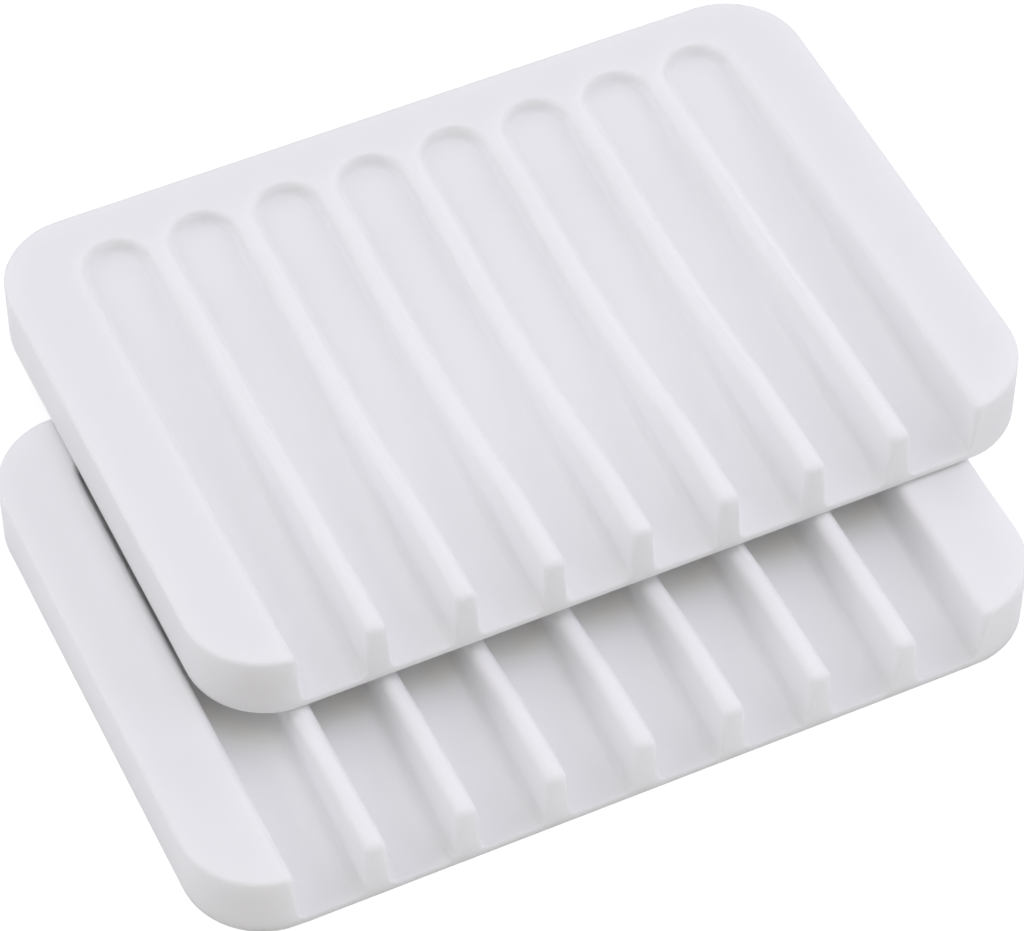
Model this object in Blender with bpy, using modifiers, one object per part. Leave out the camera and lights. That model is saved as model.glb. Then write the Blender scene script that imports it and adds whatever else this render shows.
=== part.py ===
"""A pair of moulded silicone soap dishes, one laid on the other and set back from it.

Both dishes are the same moulding: a flat slab with round corners, eight drain channels
that fall towards the open front edge, seven ribs between them, and an oval soap cradle
dished into the ribs' crests. Metres, +Z up. The origin is the centre of the lower dish's
underside, +X runs along the dishes and the drain edge faces -Y.
"""
import math

import bmesh
import bpy

# Slab
DISH_LENGTH = 0.115
DISH_DEPTH = 0.080
DISH_HEIGHT = 0.010
CORNER_RADIUS = 0.0108
EDGE_ROUND = 0.00045

# Drain channels and the ribs between them
CHANNEL_COUNT = 8
RIB_WIDTH = 0.0028
SIDE_RIM_WIDTH = 0.0106
BACK_RIM_WIDTH = 0.0062
CHANNEL_BACK_DEPTH = 0.0020
FRONT_LIP_THICKNESS = 0.0011
FLOOR_FILLET = 0.0012
CREST_ROUND = 0.0007
WALL_DRAFT = math.radians(4.0)

# Oval soap cradle in the ribs' crests
CRADLE_LENGTH = 0.082
CRADLE_WIDTH = 0.051
CRADLE_DEPTH = 0.00235
CRADLE_FORWARD = 0.0018

# How the upper dish lies on the lower one
UPPER_TO_RIGHT = 0.0106
UPPER_SET_BACK = 0.0229
SEAT_GAP = 0.0003

# Facets
CORNER_STEPS = 10
ARC_STEPS = 14
FILLET_STEPS = 3
CREST_ROUND_STEPS = 3
EDGE_STEPS = 2
CRADLE_STEPS = 14

# How far a cutter stands clear of what it cuts
CUTTER_MARGIN = 0.003

# Sizes that follow from the ones above
CHANNEL_FIELD = DISH_LENGTH - 2 * SIDE_RIM_WIDTH
CHANNEL_PITCH = (CHANNEL_FIELD + RIB_WIDTH) / CHANNEL_COUNT
CHANNEL_HALF_WIDTH = (CHANNEL_PITCH - RIB_WIDTH) / 2
CHANNEL_END_Y = DISH_DEPTH / 2 - BACK_RIM_WIDTH
CHANNEL_RUN = DISH_DEPTH - BACK_RIM_WIDTH
CHANNEL_FRONT_DEPTH = DISH_HEIGHT - FRONT_LIP_THICKNESS
FLOOR_FALL = (CHANNEL_FRONT_DEPTH - CHANNEL_BACK_DEPTH) / CHANNEL_RUN


def clear_scene():
    """Remove whatever the file holds, so that the script can be run again."""
    for old in list(bpy.data.objects):
        bpy.data.objects.remove(old, do_unlink=True)


def new_collection(name):
    collection = bpy.data.collections.new(name)
    bpy.context.scene.collection.children.link(collection)
    return collection


def silicone(name):
    """White moulded silicone, matt and slightly cool."""
    material = bpy.data.materials.new(name)
    material.use_nodes = True
    shader = material.node_tree.nodes["Principled BSDF"]
    shader.inputs["Base Color"].default_value = (0.83, 0.83, 0.86, 1.0)
    shader.inputs["Roughness"].default_value = 0.55
    shader.inputs["Metallic"].default_value = 0.0
    return material


def object_from(bm, name, collection):
    """Turn a finished bmesh into an object with its faces pointing out."""
    bmesh.ops.recalc_face_normals(bm, faces=bm.faces)
    mesh = bpy.data.meshes.new(name)
    bm.to_mesh(mesh)
    bm.free()
    piece = bpy.data.objects.new(name, mesh)
    collection.objects.link(piece)
    return piece


def slab(name, collection):
    """The uncut block: a box whose upright edges are rounded to the corner radius."""
    bm = bmesh.new()
    bmesh.ops.create_cube(bm, size=1.0)
    bmesh.ops.scale(bm, verts=bm.verts, vec=(DISH_LENGTH, DISH_DEPTH, DISH_HEIGHT))
    bmesh.ops.translate(bm, verts=bm.verts, vec=(0.0, 0.0, DISH_HEIGHT / 2))
    upright = [edge for edge in bm.edges if abs(edge.verts[0].co.z - edge.verts[1].co.z) > DISH_HEIGHT / 2]
    bmesh.ops.bevel(bm, geom=upright, offset=CORNER_RADIUS, segments=CORNER_STEPS, profile=0.5, affect="EDGES")
    return object_from(bm, name, collection)


def floor_depth(y):
    """Depth of the channel floor below the dish's top at y, on a straight fall to the front."""
    return CHANNEL_BACK_DEPTH + FLOOR_FALL * (CHANNEL_END_Y - y)


def channel_plan(inset):
    """Plan of a channel from its right front end, round the half round back, to its left front end.

    inset is a function of y that draws the sides in, and the half round keeps its centre.
    """
    centre_y = CHANNEL_END_Y - CHANNEL_HALF_WIDTH
    front_y = -DISH_DEPTH / 2 - CUTTER_MARGIN
    front_half = CHANNEL_HALF_WIDTH - inset(front_y)
    points = [(front_half, front_y)]
    for step in range(ARC_STEPS + 1):
        angle = math.pi * step / ARC_STEPS
        radius = CHANNEL_HALF_WIDTH - inset(centre_y + CHANNEL_HALF_WIDTH * math.sin(angle))
        points.append((radius * math.cos(angle), centre_y + radius * math.sin(angle)))
    points.append((-front_half, front_y))
    return points


def channel_cutter(name, centre_x, collection):
    """One channel as a solid: drafted walls, a sloping floor and a filleted foot."""
    draft = math.tan(WALL_DRAFT)
    mouth = channel_plan(lambda y: -draft * CUTTER_MARGIN)
    foot = channel_plan(lambda y: draft * floor_depth(y))
    bm = bmesh.new()
    upper = [bm.verts.new((centre_x + x, y, DISH_HEIGHT + CUTTER_MARGIN)) for x, y in mouth]
    lower = [bm.verts.new((centre_x + x, y, DISH_HEIGHT - floor_depth(y))) for x, y in foot]
    bm.faces.new(upper)
    bm.faces.new(lower[::-1])
    for i in range(len(upper)):
        j = (i + 1) % len(upper)
        bm.faces.new((upper[j], upper[i], lower[i], lower[j]))
    foot_edges = [bm.edges.get((lower[i], lower[i + 1])) for i in range(len(lower) - 1)]
    bmesh.ops.recalc_face_normals(bm, faces=bm.faces)
    bmesh.ops.bevel(bm, geom=foot_edges, offset=FLOOR_FILLET, segments=FILLET_STEPS, profile=0.5, affect="EDGES")
    return as_cutter(object_from(bm, name, collection))


def channel_centres():
    """X of each channel's centre line, evenly spaced about the dish's middle."""
    first = -CHANNEL_PITCH * (CHANNEL_COUNT - 1) / 2
    return [first + CHANNEL_PITCH * index for index in range(CHANNEL_COUNT)]


def cradle_drop(x, y):
    """Depth of the soap cradle below the dish's top, a paraboloid over an oval.

    It is negative outside the oval, where nothing is cut.
    """
    across = x / (CRADLE_LENGTH / 2)
    along = (y + CRADLE_FORWARD) / (CRADLE_WIDTH / 2)
    return CRADLE_DEPTH * (1.0 - across ** 2 - along ** 2)


def cradle_cutter(name, collection):
    """The cradle as a solid: a grid bent to the paraboloid, extruded up to a flat top.

    The grid's columns meet over the channels, so that each rib's crest is cut by plain strips.
    """
    bm = bmesh.new()
    bmesh.ops.create_grid(bm, x_segments=CHANNEL_COUNT - 1, y_segments=CRADLE_STEPS, size=0.5)
    span_x = CHANNEL_PITCH * (CHANNEL_COUNT - 1)
    span_y = CRADLE_WIDTH + 2 * CUTTER_MARGIN
    bmesh.ops.scale(bm, verts=bm.verts, vec=(span_x, span_y, 1.0))
    bmesh.ops.translate(bm, verts=bm.verts, vec=(0.0, -CRADLE_FORWARD, 0.0))
    for vert in bm.verts:
        vert.co.z = DISH_HEIGHT - cradle_drop(vert.co.x, vert.co.y)
    top_z = max(vert.co.z for vert in bm.verts) + CUTTER_MARGIN
    raised = bmesh.ops.extrude_face_region(bm, geom=bm.faces[:])
    for item in raised["geom"]:
        if isinstance(item, bmesh.types.BMVert):
            item.co.z = top_z
    return as_cutter(object_from(bm, name, collection))


def as_cutter(piece):
    piece.hide_render = True
    piece.display_type = "WIRE"
    return piece


def cut(piece, cutter):
    boolean = piece.modifiers.new(cutter.name, "BOOLEAN")
    boolean.operation = "DIFFERENCE"
    boolean.solver = "EXACT"
    boolean.object = cutter


def keep_cuts(piece):
    """Make the cut shape the piece's own mesh, so that edges of it can be picked and rounded."""
    depsgraph = bpy.context.evaluated_depsgraph_get()
    piece.data = bpy.data.meshes.new_from_object(piece.evaluated_get(depsgraph))
    piece.modifiers.clear()


def is_mouth_edge(edge):
    """Whether an edge lies between a channel's drafted wall and the top over it."""
    if not edge.is_convex:
        return False
    wall, top = sorted(face.normal.z for face in edge.link_faces)
    return math.sin(WALL_DRAFT) / 2 < wall < 0.5 < top


def round_crests(piece):
    """Round the ribs' crests and the rims' inner edges over into the channels.

    A round of radius r on two faces at an angle leaves each face r times the tangent of half
    the turn between them from the edge, and the draft takes a little off the quarter turn.
    """
    bm = bmesh.new()
    bm.from_mesh(piece.data)
    mouths = [edge for edge in bm.edges if is_mouth_edge(edge)]
    reach = CREST_ROUND * math.tan(math.pi / 4 - WALL_DRAFT / 2)
    bmesh.ops.bevel(bm, geom=mouths, offset=reach, segments=CREST_ROUND_STEPS, profile=0.5, affect="EDGES")
    bm.to_mesh(piece.data)
    bm.free()


def soften(piece):
    """Round every edge of the moulding that is still sharp a little."""
    bevel = piece.modifiers.new("edge_round", "BEVEL")
    bevel.limit_method = "ANGLE"
    bevel.angle_limit = math.radians(50.0)
    bevel.width = EDGE_ROUND
    bevel.segments = EDGE_STEPS
    bevel.use_clamp_overlap = True


def moulded_copy(original, name, place, collection):
    """A second moulding from the same mould, at its own place."""
    depsgraph = bpy.context.evaluated_depsgraph_get()
    mesh = bpy.data.meshes.new_from_object(original.evaluated_get(depsgraph))
    mesh.name = name
    piece = bpy.data.objects.new(name, mesh)
    piece.location = place
    collection.objects.link(piece)
    return piece


def finish(piece, material):
    """Give a dish its material and smooth shading over its round stretches."""
    piece.data.materials.clear()
    piece.data.materials.append(material)
    piece.data.shade_smooth()
    piece.data.set_sharp_from_angle(angle=math.radians(35.0))


clear_scene()
dishes = new_collection("soap_dish_pair")
cutters = new_collection("cutters")

lower_dish = slab("lower_dish", dishes)
cut(lower_dish, cradle_cutter("cradle_cutter", cutters))
for number, x in enumerate(channel_centres(), start=1):
    cut(lower_dish, channel_cutter(f"channel_cutter_{number}", x, cutters))
keep_cuts(lower_dish)
round_crests(lower_dish)
soften(lower_dish)

upper_place = (UPPER_TO_RIGHT, UPPER_SET_BACK, DISH_HEIGHT + SEAT_GAP)
upper_dish = moulded_copy(lower_dish, "upper_dish", upper_place, dishes)

finish(lower_dish, silicone("lower_silicone"))
finish(upper_dish, silicone("upper_silicone"))
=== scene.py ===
import math

import bmesh
import bpy
import numpy as np
from mathutils import Matrix, Vector


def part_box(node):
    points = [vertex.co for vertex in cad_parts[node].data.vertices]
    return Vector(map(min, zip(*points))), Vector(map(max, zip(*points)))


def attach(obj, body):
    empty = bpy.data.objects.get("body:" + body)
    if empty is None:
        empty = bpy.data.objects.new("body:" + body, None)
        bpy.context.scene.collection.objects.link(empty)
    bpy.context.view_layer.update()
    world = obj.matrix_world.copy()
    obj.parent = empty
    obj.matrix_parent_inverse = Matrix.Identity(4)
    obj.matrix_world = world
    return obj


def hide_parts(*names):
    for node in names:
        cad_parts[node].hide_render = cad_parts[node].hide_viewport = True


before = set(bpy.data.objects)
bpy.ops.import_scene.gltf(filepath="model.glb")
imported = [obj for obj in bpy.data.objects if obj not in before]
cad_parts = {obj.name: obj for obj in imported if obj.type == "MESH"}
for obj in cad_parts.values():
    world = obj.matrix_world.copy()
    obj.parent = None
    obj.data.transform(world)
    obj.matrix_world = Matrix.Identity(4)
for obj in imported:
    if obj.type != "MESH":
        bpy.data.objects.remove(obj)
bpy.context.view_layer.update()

# Camera
# A long lens from the dishes' left front, half way down from straight above. The lower
# dish's underside is centred on the origin, so the camera is aimed a little past it.
CAMERA_AZIMUTH = -25.177
CAMERA_ELEVATION = 50.094
CAMERA_DISTANCE = 0.5957
CAMERA_AIM_RIGHT = 0.0004157
CAMERA_AIM_UP = 0.0126906
CAMERA_LENS = 162.55
SENSOR_WIDTH = 36.0
NEAREST_SEEN = 0.01
FARTHEST_SEEN = 20.0


def way_towards(azimuth, elevation):
    """Unit way out from the dishes, for an azimuth from -Y towards +X and an elevation in degrees."""
    azimuth, elevation = math.radians(azimuth), math.radians(elevation)
    flat = math.cos(elevation)
    return Vector((math.sin(azimuth) * flat, -math.cos(azimuth) * flat, math.sin(elevation)))


def studio_camera():
    """Looks along the line from the azimuth and elevation to the aim, with the horizon level."""
    back = way_towards(CAMERA_AZIMUTH, CAMERA_ELEVATION)
    right = Vector((0.0, 0.0, 1.0)).cross(back).normalized()
    up = back.cross(right)
    camera = bpy.data.objects.new("studio_camera", bpy.data.cameras.new("studio_camera"))
    bpy.context.scene.collection.objects.link(camera)
    camera.data.sensor_fit = "HORIZONTAL"
    camera.data.sensor_width = SENSOR_WIDTH
    camera.data.lens = CAMERA_LENS
    camera.data.clip_start = NEAREST_SEEN
    camera.data.clip_end = FARTHEST_SEEN
    turn = Matrix((right, up, back)).transposed()
    place = back * CAMERA_DISTANCE + right * CAMERA_AIM_RIGHT + up * CAMERA_AIM_UP
    camera.matrix_world = Matrix.Translation(place) @ turn.to_4x4()
    return camera


bpy.context.scene.camera = studio_camera()

# Lower dish
# One moulding in white silicone, matt and a little translucent: a slab with round corners,
# eight drain channels that fall to the open front edge, seven ribs, and an oval soap cradle
# dished into the ribs' crests. It lies on the counter on its plain underside.
MM = 0.001
dish_low, dish_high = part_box("lower_dish")
DISH_LENGTH, DISH_DEPTH, DISH_HEIGHT = dish_high - dish_low
CORNER_RADIUS = 10.8 * MM
CHANNEL_COUNT = 8
RIB_WIDTH = 2.8 * MM
SIDE_RIM_WIDTH = 10.6 * MM
BACK_RIM_WIDTH = 6.2 * MM
CHANNEL_BACK_DEPTH = 2.0 * MM
FRONT_LIP_THICKNESS = 1.1 * MM
WALL_DRAFT = math.radians(1.5)
FLOOR_FILLET = 1.3 * MM
BACK_FILLET = 0.7 * MM
FILLET_SHARE = 0.6
CREST_ROUND = 1.3 * MM
BACK_ROUND = 0.4 * MM
LEAST_WALL = 0.1 * MM
EDGE_ROUND = 0.5 * MM
RIB_END_ROUND = 1.0 * MM
LIP_ROUND = 0.35 * MM
UNDERSIDE_ROUND = 0.3 * MM
CRADLE_LENGTH = 82.0 * MM
CRADLE_WIDTH = 51.0 * MM
CRADLE_DEPTH = 2.35 * MM
CRADLE_FORWARD = 1.8 * MM
CRADLE_BLEND = 0.15

# Rows and columns of the dish's surfaces, and how near each other points are one point
SIDE_STEPS = 60
END_STEPS = 28
FILLET_STEPS = 5
WALL_STEPS = 5
CREST_STEPS = 5
EDGE_STEPS = 5
FLOOR_COLUMNS = 4
RIM_ROWS = 3
WELD = 0.0002 * MM

# Points of a channel's wall from foot to crest. The front edge has for each channel its left
# wall from crest to foot, its floor, its right wall from foot to crest, and the next rib.
LEVELS = FILLET_STEPS + WALL_STEPS + CREST_STEPS + 1
LEFT_WALL = slice(LEVELS - 1, None, -1)
RIGHT_WALL = slice(-LEVELS - 1, -1)
LIP_FLOOR = slice(LEVELS - 1, -LEVELS)
DOWN = np.array((0.0, 0.0, -1.0))

CHANNEL_PITCH = (DISH_LENGTH - 2 * SIDE_RIM_WIDTH + RIB_WIDTH) / CHANNEL_COUNT
CHANNEL_HALF = (CHANNEL_PITCH - RIB_WIDTH) / 2
CHANNEL_END_Y = DISH_DEPTH / 2 - BACK_RIM_WIDTH
CHANNEL_ARC_Y = CHANNEL_END_Y - CHANNEL_HALF
FLOOR_FALL = (DISH_HEIGHT - FRONT_LIP_THICKNESS - CHANNEL_BACK_DEPTH) / (DISH_DEPTH - BACK_RIM_WIDTH)
CORE_X = DISH_LENGTH / 2 - CORNER_RADIUS
CORE_Y = DISH_DEPTH / 2 - CORNER_RADIUS
CORNER_ARC = CORNER_RADIUS * math.pi / 2
ROUND_TANGENT = math.tan(math.pi / 4 - WALL_DRAFT / 2)
MOUTH_HALF = CHANNEL_HALF + CREST_ROUND * ROUND_TANGENT

channel_x = CHANNEL_PITCH * (np.arange(CHANNEL_COUNT) - (CHANNEL_COUNT - 1) / 2)
rib_x = channel_x + CHANNEL_PITCH / 2


def floor_depth(y):
    """Depth of a channel's floor below the top: the depth at the back plus a straight fall."""
    return CHANNEL_BACK_DEPTH + FLOOR_FALL * (CHANNEL_END_Y - y)


def cradle_dip(x, y):
    """Depth of the soap cradle: a paraboloid over an oval.

    With q as one less the squared distance from the oval's middle, in its half widths, the
    dip is the depth times q inside, nothing outside, and a parabola between the two where q
    is within the blend of nought, so that the crests roll over into the cradle.
    """
    q = 1 - (x / (CRADLE_LENGTH / 2)) ** 2 - ((y + CRADLE_FORWARD) / (CRADLE_WIDTH / 2)) ** 2
    rolled = (q + CRADLE_BLEND) ** 2 / (4 * CRADLE_BLEND)
    return CRADLE_DEPTH * np.where(q > CRADLE_BLEND, q, np.where(q < -CRADLE_BLEND, 0.0, rolled))


def wall_levels():
    """Angles along the foot's fillet and the crest's round, and the ways in at every level.

    A way into the silicone is its part outwards from the channel and its part up.
    """
    foot = np.linspace(-math.pi / 2, -WALL_DRAFT, FILLET_STEPS + 1)
    crest = np.linspace(math.pi - WALL_DRAFT, math.pi / 2, CREST_STEPS + 1)
    wall = np.full(WALL_STEPS - 1, -WALL_DRAFT)
    outward = np.concatenate([np.cos(foot), np.cos(wall), -np.cos(crest)])
    upward = np.concatenate([np.sin(foot), np.sin(wall), -np.sin(crest)])
    return foot, crest, np.stack([outward, upward], -1)


def wall_section(foot_reach, floor_z, foot_round, crest_reach, crest_z, crest_round):
    """Half section of a channel, from the floor's edge to the crest, for arrays of stations.

    The wall is a straight line with the draft. At its foot an arc is tangent to it and to the
    floor, and at its head an arc is tangent to it and to the crest. A tangent point lies the
    radius times tan(45 degrees less half the draft) from where the two lines would meet.
    """
    foot, crest, _ = wall_levels()
    given = (foot_reach, floor_z, foot_round, crest_reach, crest_z, crest_round)
    foot_reach, floor_z, foot_round, crest_reach, crest_z, crest_round = (v[..., None] for v in given)
    fillet_reach = foot_reach + foot_round * (np.cos(foot) - ROUND_TANGENT)
    fillet_z = floor_z + foot_round * (1 + np.sin(foot))
    round_reach = crest_reach + crest_round * (ROUND_TANGENT + np.cos(crest))
    round_z = crest_z + crest_round * (np.sin(crest) - 1)
    share = np.linspace(0, 1, WALL_STEPS + 1)[1:-1]
    between_reach = fillet_reach[..., -1:] * (1 - share) + round_reach[..., :1] * share
    between_z = fillet_z[..., -1:] * (1 - share) + round_z[..., :1] * share
    reach = np.concatenate([fillet_reach, between_reach, round_reach], -1)
    return reach, np.concatenate([fillet_z, between_z, round_z], -1)


def channel_walls():
    """The half section carried round each channel's U: channels by stations by levels.

    The stations run from the front up the right side, round the half circle and down the
    left side. A point is the station's centre plus the section's reach along the outward
    way, which is +X on the right side, turns with the half circle, and is -X on the left.
    Both rounds grow smaller with the way's part backwards. Where the wall is low, the fillet
    is at most a share of its height, and the crest's round at most what that leaves.
    """
    up_side = np.linspace(RIB_END_ROUND - DISH_DEPTH / 2, CHANNEL_ARC_Y, SIDE_STEPS + 1)
    turn = np.linspace(0, math.pi, END_STEPS + 1)[1:-1]
    centre_y = np.concatenate([up_side, np.full(turn.size, CHANNEL_ARC_Y), up_side[::-1]])
    side = np.ones(up_side.size)
    way_x = np.concatenate([side, np.cos(turn), -side])
    way_y = np.concatenate([0 * side, np.sin(turn), 0 * side])
    mouth_x = channel_x[:, None] + CHANNEL_HALF * way_x
    mouth_y = centre_y + CHANNEL_HALF * way_y
    foot_reach = CHANNEL_HALF - math.tan(WALL_DRAFT) * floor_depth(mouth_y) + 0 * mouth_x
    floor_z = DISH_HEIGHT - floor_depth(centre_y + foot_reach * way_y)
    dip = cradle_dip(mouth_x, mouth_y)
    crest_reach = CHANNEL_HALF - math.tan(WALL_DRAFT) * dip
    wall_height = DISH_HEIGHT - dip - floor_z
    foot_round = FLOOR_FILLET + (BACK_FILLET - FLOOR_FILLET) * way_y
    foot_round = np.minimum(foot_round, FILLET_SHARE * wall_height)
    crest_round = CREST_ROUND + (BACK_ROUND - CREST_ROUND) * way_y
    crest_round = np.minimum(crest_round, wall_height - foot_round - LEAST_WALL)
    reach, z = wall_section(foot_reach, floor_z, foot_round, crest_reach, DISH_HEIGHT - dip, crest_round)
    x = channel_x[:, None, None] + reach * way_x[:, None]
    y = centre_y[:, None] + reach * way_y[:, None]
    return np.stack([x, y, z], -1)


def front_wall(x):
    """The slab's front at x: its y and its outward way. It bends back where the corners start."""
    sine = np.sign(x) * np.clip(np.abs(x) - CORE_X, 0, None) / CORNER_RADIUS
    cosine = np.sqrt(1 - sine ** 2)
    return -CORE_Y - CORNER_RADIUS * cosine, np.stack([sine, -cosine, 0 * x], -1)


def outline(run):
    """Points and outward ways on the slab's outline, by the run from the front's middle.

    A point is a corner circle's centre plus the radius along the outward way. On a straight
    the centre slides and the way stays, and round a corner the way turns and the centre stays.
    """
    side = (CORNER_ARC, 2 * CORE_Y, CORNER_ARC)
    runs = np.cumsum([0, CORE_X, *side, 2 * CORE_X, *side, CORE_X])
    core_x = np.interp(run, runs, CORE_X * np.array([0, 1, 1, 1, 1, -1, -1, -1, -1, 0]))
    core_y = np.interp(run, runs, CORE_Y * np.array([-1, -1, -1, 1, 1, 1, 1, -1, -1, -1]))
    angle = np.interp(run, runs, math.pi / 2 * np.array([-1, -1, 0, 0, 1, 1, 2, 2, 3, 3]))
    way = np.stack([np.cos(angle), np.sin(angle), 0 * angle], -1)
    return np.stack([core_x, core_y, 0 * core_x], -1) + CORNER_RADIUS * way, way


def outline_runs():
    """Where the outline's stations lie, one for each point of the rim's inner edge.

    The inner edge runs up the last channel's right side, round every channel's end with a
    point on each rib between them, and down the first channel's left side. The outline is
    shared out evenly over each of these stretches.
    """
    start = CORE_X + CORNER_RADIUS * math.asin((channel_x[-1] + MOUTH_HALF - CORE_X) / CORNER_RADIUS)
    side_end = CORE_X + CORNER_ARC + CORE_Y + CHANNEL_ARC_Y
    back_middle = 2 * CORE_X + 2 * CORE_Y + 2 * CORNER_ARC
    whole = 2 * back_middle
    right = back_middle - (channel_x + MOUTH_HALF)
    left = back_middle - (channel_x - MOUTH_HALF)
    knots, places = [0, SIDE_STEPS], [start, side_end]
    for channel in range(CHANNEL_COUNT - 1, -1, -1):
        knots.append(knots[-1] + END_STEPS)
        places.append(left[channel])
        if channel:
            knots += [knots[-1] + 1, knots[-1] + 2]
            places += [back_middle - rib_x[channel - 1], right[channel - 1]]
    places[-1] = whole - side_end
    knots.append(knots[-1] + SIDE_STEPS)
    places.append(whole - start)
    return np.interp(np.arange(knots[-1] + 1), knots, places)


def rolled_edge(edge, inward, outward, radius):
    """A quarter round carried along an edge between two surfaces, in rows of the edge's points.

    From the first surface to the second, a point moves the radius times (1 - cos) along the
    way down the second surface, and starts the radius times (1 - sin) in from it.
    """
    turn = np.linspace(0, math.pi / 2, EDGE_STEPS + 1).reshape(-1, *(1,) * edge.ndim)
    return edge + radius * ((1 - np.cos(turn)) * inward - (1 - np.sin(turn)) * outward)


def ruled(first, last, steps):
    """Straight lines from each point of one edge to its fellow on another, rows by points."""
    share = np.linspace(0, 1, steps + 1)[:, None, None]
    return first * (1 - share) + last * share


def front_rounds():
    """Radius of the front edge's round at each of its points, channels by points.

    It is the lip's along the floors and up the fillets, grows up the walls to the rib ends',
    and stays that over the crests. On the rims' walls it ends as the top edge's.
    """
    bands = np.cumsum([0, FILLET_STEPS, WALL_STEPS, CREST_STEPS])
    at_rib = np.interp(np.arange(LEVELS), bands, (LIP_ROUND, LIP_ROUND, RIB_END_ROUND, RIB_END_ROUND))
    at_rim = np.interp(np.arange(LEVELS), bands, (LIP_ROUND, LIP_ROUND, RIB_END_ROUND, EDGE_ROUND))
    radius = np.concatenate([at_rib[::-1], np.full(FLOOR_COLUMNS - 1, LIP_ROUND), at_rib, [RIB_END_ROUND]])
    radius = np.tile(radius, (CHANNEL_COUNT, 1))
    radius[0, LEFT_WALL] = at_rim
    radius[-1, RIGHT_WALL] = at_rim
    return radius


def front_edge(walls):
    """The front's rounded edge, down and up every channel's section and over every rib.

    It is a rolled edge, rows by channels by points, between the channels' and the crests'
    surfaces, whose way in is square to each, and the slab's front, whose way is level.
    """
    floor_share = np.linspace(0, 1, FLOOR_COLUMNS + 1)[1:-1, None]
    floor_line = walls[:, -1:, 0] * (1 - floor_share) + walls[:, :1, 0] * floor_share
    crest_point = np.stack(np.broadcast_arrays(rib_x, walls[0, 0, 0, 1], DISH_HEIGHT), -1)
    edge = np.concatenate([walls[:, -1, ::-1], floor_line, walls[:, 0], crest_point[:, None]], 1)
    _, _, into = wall_levels()
    right_way = np.stack([into[:, 0], 0 * into[:, 0], into[:, 1]], -1)
    left_way = right_way * (-1, 1, 1)
    way = np.concatenate([left_way[::-1], np.tile(DOWN, (FLOOR_COLUMNS - 1, 1)), right_way, DOWN[None]])
    front_y, front_out = front_wall(edge[..., 0])
    edge = np.stack([edge[..., 0], front_y, edge[..., 2]], -1)
    return rolled_edge(edge, way, front_out, front_rounds()[..., None])


def channel_floors(walls):
    """The channels' floors, each in straight lines from the left wall's foot to the right's."""
    half_way = SIDE_STEPS + END_STEPS // 2
    right_foot = walls[:, :half_way + 1, 0]
    left_foot = walls[:, ::-1, 0][:, :half_way + 1]
    return [ruled(left_foot[c], right_foot[c], FLOOR_COLUMNS) for c in range(CHANNEL_COUNT)]


def rib_crests(walls):
    """The ribs' crests: ribs by stations by left edge, middle line in the cradle, right edge."""
    left = walls[:-1, :SIDE_STEPS + 1, -1]
    right = walls[1:, ::-1, -1][:, :SIDE_STEPS + 1]
    middle = (left + right) / 2
    middle[..., 2] = DISH_HEIGHT - cradle_dip(middle[..., 0], middle[..., 1])
    return np.stack([left, middle, right], 2)


def rim_top(walls, crests, outer_line):
    """The rim's flat top, in straight lines from the channels' ends out to the outer line."""
    inner_line = []
    for channel in range(CHANNEL_COUNT - 1, -1, -1):
        first = 0 if channel == CHANNEL_COUNT - 1 else SIDE_STEPS
        last = None if channel == 0 else SIDE_STEPS + END_STEPS + 1
        inner_line.append(walls[channel, first:last, -1])
        if channel:
            inner_line.append(crests[channel - 1, -1:, 1])
    return ruled(np.concatenate(inner_line), outer_line, RIM_ROWS)


def upright_faces(front, line):
    """The slab's sides, the ribs' fronts, and the slivers between the sides and the end walls.

    All have their rows at the heights of the front's own section, so that they meet. A rib's
    front has the two walls' points and a middle line, which ends on the rib's rounded top.
    """
    heights = front[0, LEFT_WALL, 2]
    side_rows = line + heights[:, None, None] * (0, 0, 1)
    rib_left = front[:-1, RIGHT_WALL]
    rib_right = front[1:, LEFT_WALL]
    rib_middle = (rib_left + rib_right) / 2
    rib_middle[:, -1] = front[:-1, -1]
    left_sliver = np.stack([side_rows[:, -1], front[0, LEFT_WALL]], 1)
    right_sliver = np.stack([front[-1, RIGHT_WALL], side_rows[:, 0]], 1)
    return side_rows, np.stack([rib_left, rib_middle, rib_right], 2), [left_sliver, right_sliver]


def underside_edge(front, side_rows, rib_fronts, out):
    """The band under the lip and the sides, and the underside's rounded edge below it.

    Both run round the whole dish: along the lip's floors and the ribs' feet, and then along
    the sides' lowest row.
    """
    rib_feet = rib_fronts[:, :1, 1]
    rib_feet = np.concatenate([rib_feet, rib_feet[:1]])
    lip = np.concatenate([front[:, LIP_FLOOR], rib_feet], 1).reshape(-1, 3)[:-1]
    lip = np.concatenate([side_rows[:1, -1], lip, side_rows[:1, 0]])
    ring = np.concatenate([lip, side_rows[0, 1:-1], side_rows[:1, -1]])
    ring_out = np.concatenate([front_wall(lip[:, 0])[1], out[1:-1], out[-1:]])
    foot_roll = rolled_edge(ring * (1, 1, 0), -DOWN, ring_out, UNDERSIDE_ROUND)[::-1]
    return np.stack([ring, foot_roll[0]]), foot_roll


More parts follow.
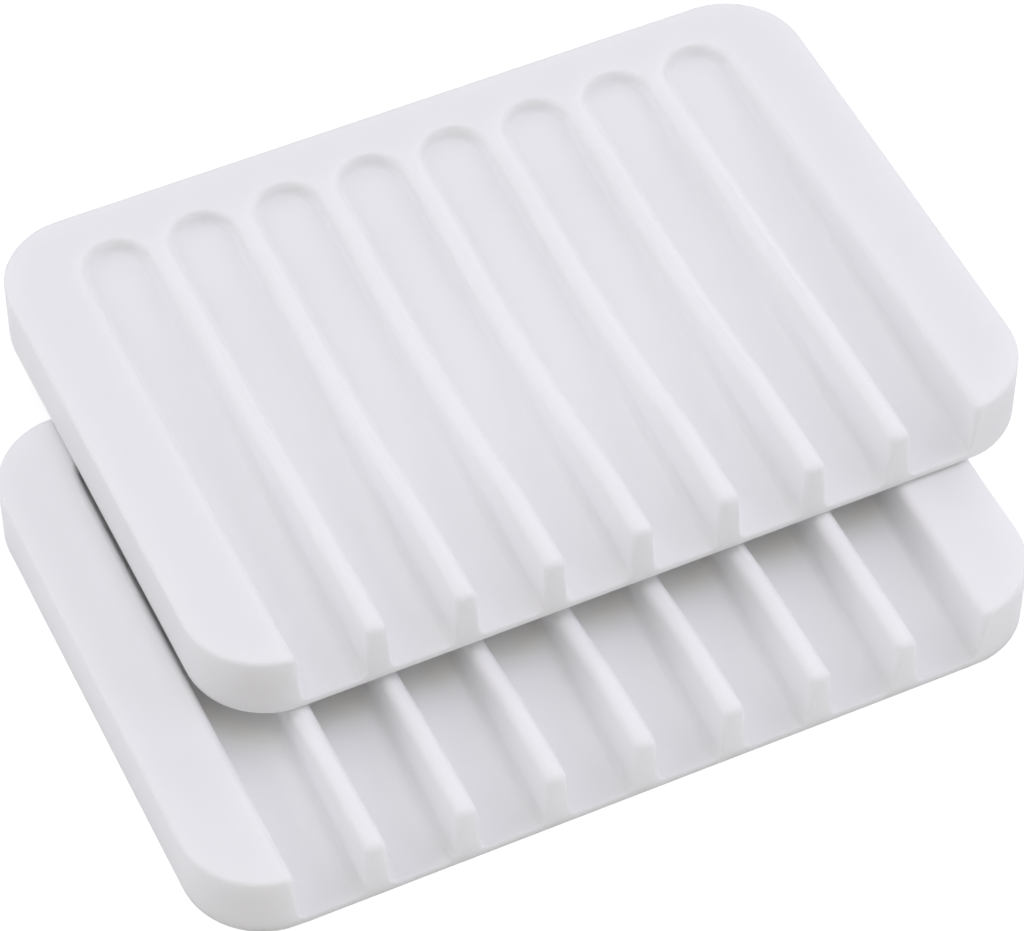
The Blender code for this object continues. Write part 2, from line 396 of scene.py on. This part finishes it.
def dish_patches():
    """Every surface of a dish, as grids of points that meet exactly, and the underside's ring."""
    walls = channel_walls()
    front_roll = front_edge(walls)
    walls[:, -1] = front_roll[0][:, LEFT_WALL]
    walls[:, 0] = front_roll[0][:, RIGHT_WALL]
    crests = rib_crests(walls)
    line, out = outline(outline_runs())
    top_roll = rolled_edge(line + (0, 0, DISH_HEIGHT), DOWN, out, EDGE_ROUND)
    side_rows, rib_fronts, slivers = upright_faces(front_roll[-1], line)
    foot_band, foot_roll = underside_edge(front_roll[-1], side_rows, rib_fronts, out)
    patches = [*walls, *channel_floors(walls), *crests, *rib_fronts]
    patches += [front_roll.reshape(EDGE_STEPS + 1, -1, 3)[:, :-1], rim_top(walls, crests, top_roll[0])]
    patches += [top_roll, side_rows, *slivers, foot_band, foot_roll]
    return patches, foot_roll[-1]


def closed_mesh(name, patches, cap, place):
    """Welds grids of points into one closed mesh, with a flat cap over the ring that is left.

    Each grid cell is a face. Points that coincide become one vertex, a cell with a side of
    no length becomes a triangle, and one with less than three corners is dropped.
    """
    cells, start = [], 0
    for patch in patches:
        index = start + np.arange(patch[..., 0].size).reshape(patch.shape[:2])
        around = (index[:-1, :-1], index[:-1, 1:], index[1:, 1:], index[1:, :-1])
        cells.append(np.stack(around, -1).reshape(-1, 4))
        start += index.size
    points = np.concatenate([patch.reshape(-1, 3) for patch in patches] + [cap])
    welded = np.round(points / WELD).astype(np.int64)
    _, kept, weld = np.unique(welded, axis=0, return_index=True, return_inverse=True)
    weld = weld.ravel()
    cells = weld[np.concatenate(cells)]
    real = cells != np.roll(cells, -1, axis=1)
    whole = real.sum(axis=1) > 2
    ring = weld[start:]
    ring = ring[ring != np.roll(ring, -1)]
    corners = np.concatenate([cells[whole][real[whole]], ring])
    sizes = np.append(real[whole].sum(axis=1), ring.size)

    mesh = bpy.data.meshes.new(name)
    mesh.vertices.add(kept.size)
    mesh.vertices.foreach_set("co", (points[kept] + place).astype(np.float32).ravel())
    mesh.loops.add(corners.size)
    mesh.loops.foreach_set("vertex_index", corners.astype(np.int32))
    mesh.polygons.add(sizes.size)
    mesh.polygons.foreach_set("loop_start", np.append(0, np.cumsum(sizes)[:-1]).astype(np.int32))
    mesh.update(calc_edges=True)
    shape = bmesh.new()
    shape.from_mesh(mesh)
    bmesh.ops.recalc_face_normals(shape, faces=shape.faces)
    shape.to_mesh(mesh)
    shape.free()
    mesh.shade_smooth()
    return mesh


def moulding(name, low, high):
    """One dish from the mould, standing in the box of its node, with its flats shaded flat."""
    patches, cap = dish_patches()
    place = np.array(((low.x + high.x) / 2, (low.y + high.y) / 2, low.z))
    piece = bpy.data.objects.new(name, closed_mesh(name, patches, cap, place))
    bpy.context.scene.collection.objects.link(piece)
    piece.modifiers.new("flats", "WEIGHTED_NORMAL")
    return piece


# The silicone's finish: a cool white with faint clouding, and the fine matt grain that the
# blasted mould leaves, over a waviness too slight to see except in the light.
SILICONE_WHITE = (0.952, 0.951, 0.958, 1.0)
SILICONE_SHADE = (0.940, 0.939, 0.946, 1.0)
CLOUD_SIZE, CLOUD_DETAIL = 9.0 * MM, 3.0
GRAIN_SIZE, GRAIN_DETAIL = 0.35 * MM, 4.0
WAVE_SIZE, WAVE_DETAIL = 7.0 * MM, 1.0
GRAIN_HEIGHT = 0.012 * MM
WAVE_HEIGHT = 0.03 * MM
ROUGH_LOW, ROUGH_HIGH = 0.50, 0.62
GLOW_DEPTH = 2.0 * MM
GLOW_REACH = (1.0, 1.0, 1.0)
SILICONE_INDEX = 1.41


def moulded_grain_group():
    """Node group for the moulded surface: noise of three sizes, as colour, roughness and height."""
    group = bpy.data.node_groups.new("moulded_grain", "ShaderNodeTree")
    sockets = group.interface
    sockets.new_socket("Place", in_out="INPUT", socket_type="NodeSocketVector")
    for name in ("Light", "Shade"):
        sockets.new_socket(name, in_out="INPUT", socket_type="NodeSocketColor")
    sockets.new_socket("Colour", in_out="OUTPUT", socket_type="NodeSocketColor")
    for name in ("Roughness", "Height"):
        sockets.new_socket(name, in_out="OUTPUT", socket_type="NodeSocketFloat")
    nodes, links = group.nodes, group.links
    given = nodes.new("NodeGroupInput")
    made = nodes.new("NodeGroupOutput")

    def noise(size, detail):
        texture = nodes.new("ShaderNodeTexNoise")
        texture.inputs["Scale"].default_value = 1 / size
        texture.inputs["Detail"].default_value = detail
        links.new(given.outputs["Place"], texture.inputs["Vector"])
        return texture.outputs["Fac"]

    cloud = noise(CLOUD_SIZE, CLOUD_DETAIL)
    tone = nodes.new("ShaderNodeMix")
    tone.data_type = "RGBA"
    links.new(cloud, tone.inputs["Factor"])
    links.new(given.outputs["Light"], tone.inputs["A"])
    links.new(given.outputs["Shade"], tone.inputs["B"])
    links.new(tone.outputs["Result"], made.inputs["Colour"])
    rough = nodes.new("ShaderNodeMapRange")
    rough.inputs["To Min"].default_value = ROUGH_LOW
    rough.inputs["To Max"].default_value = ROUGH_HIGH
    links.new(cloud, rough.inputs["Value"])
    links.new(rough.outputs["Result"], made.inputs["Roughness"])
    grain = nodes.new("ShaderNodeMath")
    grain.operation = "MULTIPLY"
    grain.inputs[1].default_value = GRAIN_HEIGHT / WAVE_HEIGHT
    links.new(noise(GRAIN_SIZE, GRAIN_DETAIL), grain.inputs[0])
    height = nodes.new("ShaderNodeMath")
    height.operation = "ADD"
    links.new(grain.outputs[0], height.inputs[0])
    links.new(noise(WAVE_SIZE, WAVE_DETAIL), height.inputs[1])
    links.new(height.outputs[0], made.inputs["Height"])
    return group


def silicone(name, grain_group, shift):
    """White silicone with the moulded grain, whose pattern is shifted from dish to dish."""
    material = bpy.data.materials.new(name)
    material.use_nodes = True
    nodes, links = material.node_tree.nodes, material.node_tree.links
    shader = nodes["Principled BSDF"]
    shader.subsurface_method = "RANDOM_WALK"
    shader.inputs["Subsurface Weight"].default_value = 1.0
    shader.inputs["Subsurface Radius"].default_value = GLOW_REACH
    shader.inputs["Subsurface Scale"].default_value = GLOW_DEPTH
    shader.inputs["IOR"].default_value = SILICONE_INDEX
    place = nodes.new("ShaderNodeTexCoord")
    moved = nodes.new("ShaderNodeMapping")
    moved.inputs["Location"].default_value = shift
    links.new(place.outputs["Object"], moved.inputs["Vector"])
    grain = nodes.new("ShaderNodeGroup")
    grain.node_tree = grain_group
    grain.inputs["Light"].default_value = SILICONE_WHITE
    grain.inputs["Shade"].default_value = SILICONE_SHADE
    links.new(moved.outputs["Vector"], grain.inputs["Place"])
    links.new(grain.outputs["Colour"], shader.inputs["Base Color"])
    links.new(grain.outputs["Roughness"], shader.inputs["Roughness"])
    bump = nodes.new("ShaderNodeBump")
    bump.inputs["Distance"].default_value = WAVE_HEIGHT
    links.new(grain.outputs["Height"], bump.inputs["Height"])
    links.new(bump.outputs["Normal"], shader.inputs["Normal"])
    return material


moulded_grain = moulded_grain_group()
lower = moulding("lower_dish_moulding", dish_low, dish_high)
lower.data.materials.append(silicone("lower_silicone_finish", moulded_grain, (0.0, 0.0, 0.0)))
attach(lower, "lower")
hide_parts("lower_dish")

# Upper dish
# A second moulding from the same mould, laid loose on the first one. It is set back and to
# the right, so that the first one's front lip and left rim stick out from under it.
UPPER_GRAIN_SHIFT = (0.31, 0.17, 0.05)
upper = moulding("upper_dish_moulding", *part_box("upper_dish"))
upper.data.materials.append(silicone("upper_silicone_finish", moulded_grain, UPPER_GRAIN_SHIFT))
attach(upper, "upper")
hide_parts("upper_dish")

# Floor
# A plain white sheet that the dishes lie on. The camera sees it with a little light of its
# own, so that it comes out white and still keeps the dishes' shadow.
FLOOR_SIZE = 6.0
FLOOR_Z = -0.02 * MM
FLOOR_COLOUR = (0.88, 0.88, 0.88, 1.0)
FLOOR_GLOW = 0.5


def seen_directly(nodes, links):
    """One for rays from the camera and for mirrored and refracted ones, nought for the rest."""
    path = nodes.new("ShaderNodeLightPath")
    seen = path.outputs["Is Camera Ray"]
    for kind in ("Is Glossy Ray", "Is Transmission Ray"):
        either = nodes.new("ShaderNodeMath")
        either.operation = "MAXIMUM"
        links.new(seen, either.inputs[0])
        links.new(path.outputs[kind], either.inputs[1])
        seen = either.outputs[0]
    return seen


def white_floor():
    """The sheet: a matt white, and for rays that see it directly the same plus a glow."""
    bpy.ops.mesh.primitive_plane_add(size=FLOOR_SIZE, location=(0.0, 0.0, FLOOR_Z))
    floor = bpy.context.object
    floor.name = "white_floor"
    material = bpy.data.materials.new("white_floor")
    material.use_nodes = True
    nodes, links = material.node_tree.nodes, material.node_tree.links
    nodes.clear()
    sheet = nodes.new("ShaderNodeBsdfDiffuse")
    sheet.inputs["Color"].default_value = FLOOR_COLOUR
    glow = nodes.new("ShaderNodeEmission")
    glow.inputs["Strength"].default_value = FLOOR_GLOW
    lit = nodes.new("ShaderNodeAddShader")
    choice = nodes.new("ShaderNodeMixShader")
    output = nodes.new("ShaderNodeOutputMaterial")
    links.new(sheet.outputs[0], lit.inputs[0])
    links.new(glow.outputs[0], lit.inputs[1])
    links.new(seen_directly(nodes, links), choice.inputs[0])
    links.new(sheet.outputs[0], choice.inputs[1])
    links.new(lit.outputs[0], choice.inputs[2])
    links.new(choice.outputs[0], output.inputs["Surface"])
    floor.data.materials.append(material)
    return floor


white_floor()

# Studio light
# Large soft boxes all round the dishes and a pale room behind them, so that the shade under
# the upper dish and in the channels stays light. The camera sees the room as white.
LAMP_SIZE = 0.5
LAMP_DISTANCE = 0.9
LAMP_CENTRE = Vector((0.0, 0.01, 0.01))
WARM_WHITE = (1.0, 0.946, 0.86)
ROOM_LIGHT = 0.313

# Each softbox's azimuth and elevation in degrees, its level and its colour
SOFTBOXES = {
    "top_softbox": (0.0, 85.0, 0.197, (0.68, 0.69, 1.0)),
    "front_softbox": (0.0, 60.0, 0.145, (0.99, 1.0, 0.86)),
    "right_softbox": (90.0, 60.0, 0.087, (0.85, 0.80, 1.0)),
    "left_softbox": (270.0, 60.0, 0.038, (0.97, 1.0, 0.75)),
    "front_right_softbox": (60.0, 30.0, 0.145, (0.80, 0.83, 1.0)),
    "back_right_softbox": (120.0, 30.0, 0.134, (0.90, 0.96, 1.0)),
    "back_left_softbox": (240.0, 30.0, 0.280, (0.84, 0.86, 1.0)),
}


def softbox(name, azimuth, elevation, level, colour):
    """A square lamp that faces the dishes.

    Level 1 lights a surface that faces the lamp so that white on it renders as white: a lamp
    of power P at a distance d gives P / (pi d squared), and white needs pi.
    """
    way = way_towards(azimuth, elevation)
    lamp = bpy.data.lights.new(name, "AREA")
    lamp.shape = "SQUARE"
    lamp.size = LAMP_SIZE
    lamp.color = colour
    lamp.energy = level * (math.pi * LAMP_DISTANCE) ** 2
    holder = bpy.data.objects.new(name, lamp)
    bpy.context.scene.collection.objects.link(holder)
    holder.location = LAMP_CENTRE + way * LAMP_DISTANCE
    holder.rotation_euler = way.to_track_quat("Z", "Y").to_euler()


def pale_room():
    """A warm white room, which the camera and the dishes' gloss see as plain white."""
    world = bpy.data.worlds.new("pale_room")
    bpy.context.scene.world = world
    world.use_nodes = True
    nodes, links = world.node_tree.nodes, world.node_tree.links
    nodes.clear()
    room = nodes.new("ShaderNodeBackground")
    room.inputs["Color"].default_value = (*WARM_WHITE, 1.0)
    room.inputs["Strength"].default_value = ROOM_LIGHT
    white = nodes.new("ShaderNodeBackground")
    white.inputs["Color"].default_value = (1.0, 1.0, 1.0, 1.0)
    choice = nodes.new("ShaderNodeMixShader")
    output = nodes.new("ShaderNodeOutputWorld")
    links.new(seen_directly(nodes, links), choice.inputs[0])
    links.new(room.outputs[0], choice.inputs[1])
    links.new(white.outputs[0], choice.inputs[2])
    links.new(choice.outputs[0], output.inputs["Surface"])


for box_name, placing in SOFTBOXES.items():
    softbox(box_name, *placing)
pale_room()
bpy.context.scene.view_settings.view_transform = "Standard"
